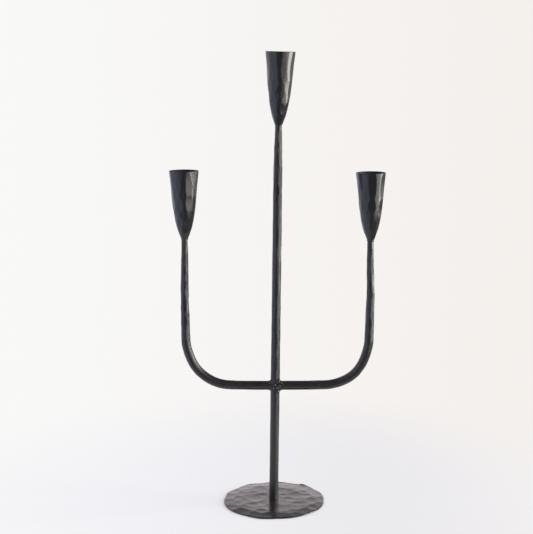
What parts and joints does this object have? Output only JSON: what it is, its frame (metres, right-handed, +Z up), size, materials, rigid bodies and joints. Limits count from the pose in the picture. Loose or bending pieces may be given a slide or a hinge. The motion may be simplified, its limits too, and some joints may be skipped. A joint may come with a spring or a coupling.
{
  "type": "candelabra",
  "caption": "Tabletop candelabra of forged round iron bar, with a hammered disc foot and tall flared tube cups on bent arms and a taller central stem.",
  "frame": {"origin": "centre of the foot disc's underside, where it rests on the table", "axes": "+Z up along the stem; the arms lie in the XZ plane, the longer one towards +X; +Y is towards the back"},
  "size_m": [0.2369, 0.1148, 0.5084],
  "materials": {
    "bar_iron": "satin black over a hand-forged surface",
    "cup_iron": "semi-gloss black over long hammer facets",
    "hammered_disc": "satin warm black over round hammer marks",
    "weld_bead": "semi-gloss black over a rippled bead"
  },
  "bodies": {
    "root": {"base_plate": "hammered_disc", "centre_stem": "bar_iron", "left_arm": "bar_iron", "right_arm": "bar_iron", "centre_cup": "cup_iron", "left_cup": "cup_iron", "right_cup": "cup_iron", "left_junction_weld": "weld_bead", "right_junction_weld": "weld_bead", "centre_neck_weld": "weld_bead", "left_neck_weld": "weld_bead", "right_neck_weld": "weld_bead", "base_plug_weld": "weld_bead"}
  },
  "joints": []
}
